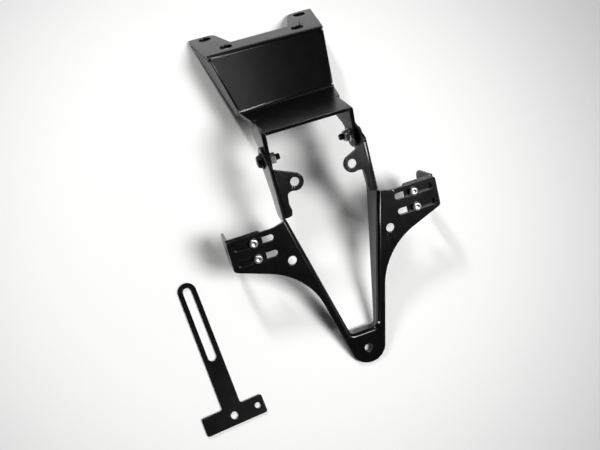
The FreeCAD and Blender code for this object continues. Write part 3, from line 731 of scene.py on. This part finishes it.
@dataclass
class PivotJoint:
    """Bolt, washer and flanged nut on each side of the hinge between tail bracket and plate holder.

    Places are in millimetres in the holder's frame. The bolts and nuts stand a little turned, as they
    do when they have been tightened by hand.
    """

    holder: HolderFrame
    pivot_up: float = 71.0
    pivot_deep: float = 23.5
    arm_out: float = 36.6
    ear_in: float = 31.5
    bolt_spin_deg: float = 14.0
    nut_spin_deg: float = 11.0
    washer: WasherMaker = field(default_factory=lambda: WasherMaker(outer=12.0, bore=5.1, thick=1.0))
    nut: NutMaker = field(default_factory=lambda: NutMaker(
        thread=5.0, flats=8.0, high=4.7, flange=10.0))
    bolt: ScrewMaker = field(default_factory=lambda: ScrewMaker(
        thread=5.0, pitch=0.8, grip=14.2, head=9.5, head_high=2.8, key=3.0, threaded=8.6))

    def build(self, finishes: Finishes) -> None:
        """Make both sides of the hinge.
        """
        centre = self.holder.point(0.0, self.pivot_up, -self.pivot_deep)
        black, bright = (finishes.oxide, "black_oxide_steel"), (finishes.zinc, "zinc_plated_steel")
        for side in Side:
            out = Vector((float(side.value), 0.0, 0.0))
            stack = [
                (self.washer, "pivot_washer_", self.arm_out, out, black, 0.0),
                (self.bolt, "pivot_bolt_", self.arm_out + self.washer.thick, out, black, self.bolt_spin_deg),
                (self.nut, "pivot_nut_", self.ear_in, -out, bright, self.nut_spin_deg)]
            for maker, kind, reach, axis, (material, slot), spin in stack:
                Fastener(maker, kind + side.word, centre + out * reach, axis, "tail", material, slot,
                         spin * side.value).build()


@dataclass
class IndicatorFixings:
    """Screw, washer and nut in both slots of both wings.

    Places are in millimetres in the holder's frame. The screws' seats are lifted by a film, so that two
    flat faces never share one plane.
    """

    holder: HolderFrame
    screw_x: float = 61.6
    stack_deep: float = 4.0
    film_mm: float = 0.02
    spin_deg_per_level_mm: float = 7.0
    spin_deg_per_side: float = 9.0
    screw: ScrewMaker = field(default_factory=lambda: ScrewMaker(
        thread=4.0, pitch=0.7, grip=9.5, head=6.6, head_high=2.2, key=2.5, threaded=6.4))
    washer: WasherMaker = field(default_factory=lambda: WasherMaker(outer=9.0, bore=4.1, thick=0.8))
    nut: NutMaker = field(default_factory=lambda: NutMaker(thread=4.0, flats=7.0, high=3.2))

    def build(self, finishes: Finishes) -> None:
        """Make the fixings of both wings.
        """
        out = self.holder.normal()
        for side in Side:
            for level in Level:
                spot = side.value * self.screw_x, level.value
                under = self.holder.point(*spot, -self.stack_deep)
                spin = level.value * self.spin_deg_per_level_mm + side.value * self.spin_deg_per_side
                stack = [
                    (self.screw, "indicator_screw", self.holder.point(*spot, self.film_mm), out),
                    (self.washer, "indicator_washer", under, -out),
                    (self.nut, "indicator_nut", under - out * self.washer.thick, -out)]
                for maker, kind, seat, axis in stack:
                    Fastener(maker, f"{kind}_{side.word}_{level.word}", seat, axis, "indicator_" + side.word,
                             finishes.stainless, "stainless_steel", spin).build()


@dataclass
class Table:
    radius_mm: float = 1500.0
    drop_mm: float = 0.02
    finish: TableTop = field(default_factory=TableTop)

    def build(self) -> bpy.types.Object:
        """Returns:
            The table top.
        """
        mesh = bpy.data.meshes.new("table_top")
        mesh.from_pydata(ring(self.radius_mm, -self.drop_mm), [], [range(RING_STEPS)])
        piece = bpy.data.objects.new("table_top", mesh)
        bpy.context.scene.collection.objects.link(piece)
        paint(piece, self.finish.material())
        return piece


@dataclass
class SoftBox:
    """One studio softbox, with its place, aim and size in metres."""

    name: str
    place: tuple[float, float, float]
    aim: tuple[float, float, float]
    size: tuple[float, float]
    watts: float
    colour: str = "#ffffff"

    def build(self) -> None:
        """Hang the softbox and turn it to what it lights."""
        light = bpy.data.lights.new(self.name, "AREA")
        light.shape = "RECTANGLE"
        light.size, light.size_y = self.size
        light.energy = self.watts
        light.color = linear(self.colour)[:3]
        lamp = bpy.data.objects.new(self.name, light)
        lamp.location = self.place
        lamp.rotation_euler = (Vector(self.aim) - Vector(self.place)).to_track_quat("-Z", "Y").to_euler()
        bpy.context.scene.collection.objects.link(lamp)


@dataclass
class Studio:
    """Soft light of the photograph: a high key from the right, and a strip and a panel behind the tail.

    The room is pale at the foot of its walls and dark overhead. The tone curve is the plain one, which
    keeps the table white.
    """

    wall: str = "#ffffff"
    wall_strength: float = 0.35
    ceiling_strength: float = 0.02
    wall_top: float = 0.5
    tone_curve: str = "Standard"
    boxes: tuple[SoftBox, ...] = (
        SoftBox("key_softbox", (1.12, -0.84, 2.70), aim=(0.03, 0.03, 0.03), size=(0.95, 1.15), watts=80.0),
        # the strip draws the bright line along the folds, and the panel the grey shine of the main panel
        SoftBox("back_strip", (-0.26, 0.88, 0.90), aim=(0.0, 0.08, 0.03), size=(0.11, 0.22), watts=5.2),
        SoftBox("back_panel", (0.0, 0.60, 1.15), aim=(0.03, 0.05, 0.05), size=(0.40, 0.36), watts=0.64),
    )

    def build(self) -> None:
        """Light the room, set the tone curve and hang the softboxes."""
        world = bpy.data.worlds.new("studio_room")
        world.use_nodes = True
        tree = world.node_tree
        tree.nodes.clear()
        place = add_node(tree, "ShaderNodeTexCoord")
        parts = add_node(tree, "ShaderNodeSeparateXYZ", links={0: place.outputs["Generated"]})
        glow = add_node(tree, "ShaderNodeMapRange",
                        {"From Max": self.wall_top, "To Min": self.wall_strength,
                         "To Max": self.ceiling_strength}, {"Value": parts.outputs[2]})
        room = add_node(tree, "ShaderNodeBackground", {"Color": linear(self.wall)},
                        {"Strength": glow.outputs[0]})
        add_node(tree, "ShaderNodeOutputWorld", links={"Surface": room.outputs[0]})
        bpy.context.scene.world = world
        bpy.context.scene.view_settings.view_transform = self.tone_curve
        for box in self.boxes:
            box.build()


@dataclass
class PhotoCamera:
    """Camera of the photograph, nearly above the table; its place is in metres in the table's frame."""

    place: tuple[float, float, float] = (-0.0768001, -0.1051316, 0.5008042)
    right: tuple[float, float, float] = (0.93681, -0.33272, 0.10812)
    down: tuple[float, float, float] = (-0.30641, -0.92947, -0.20542)
    focal_px: float = 650.0
    image_px: float = 600.0
    sensor_mm: float = 36.0
    near: float = 0.01
    far: float = 50.0

    def build(self) -> None:
        """Set up the camera and make it the scene's own."""
        data = bpy.data.cameras.new("photo_camera")
        data.sensor_width = self.sensor_mm
        data.lens = self.focal_px / self.image_px * self.sensor_mm
        data.clip_start, data.clip_end = self.near, self.far
        camera = bpy.data.objects.new("photo_camera", data)
        across = Vector(self.right).normalized()
        up = -Vector(self.down)
        up = (up - across * up.dot(across)).normalized()
        turn = Matrix((across, up, across.cross(up))).transposed().to_4x4()
        camera.matrix_world = Matrix.Translation(self.place) @ turn
        bpy.context.scene.collection.objects.link(camera)
        bpy.context.scene.camera = camera


def main() -> None:
    """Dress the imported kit, build its fasteners, and set table, light and camera."""
    logging.basicConfig(level=logging.INFO, format="%(name)s: %(message)s")
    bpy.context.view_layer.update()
    finishes = Finishes()
    holder = HolderFrame()
    SheetMetal().dress(finishes)
    PivotJoint(holder).build(finishes)
    IndicatorFixings(holder).build(finishes)
    Table().build()
    Studio().build()
    PhotoCamera().build()
    bpy.context.view_layer.update()


if __name__ == "__main__":
    main()
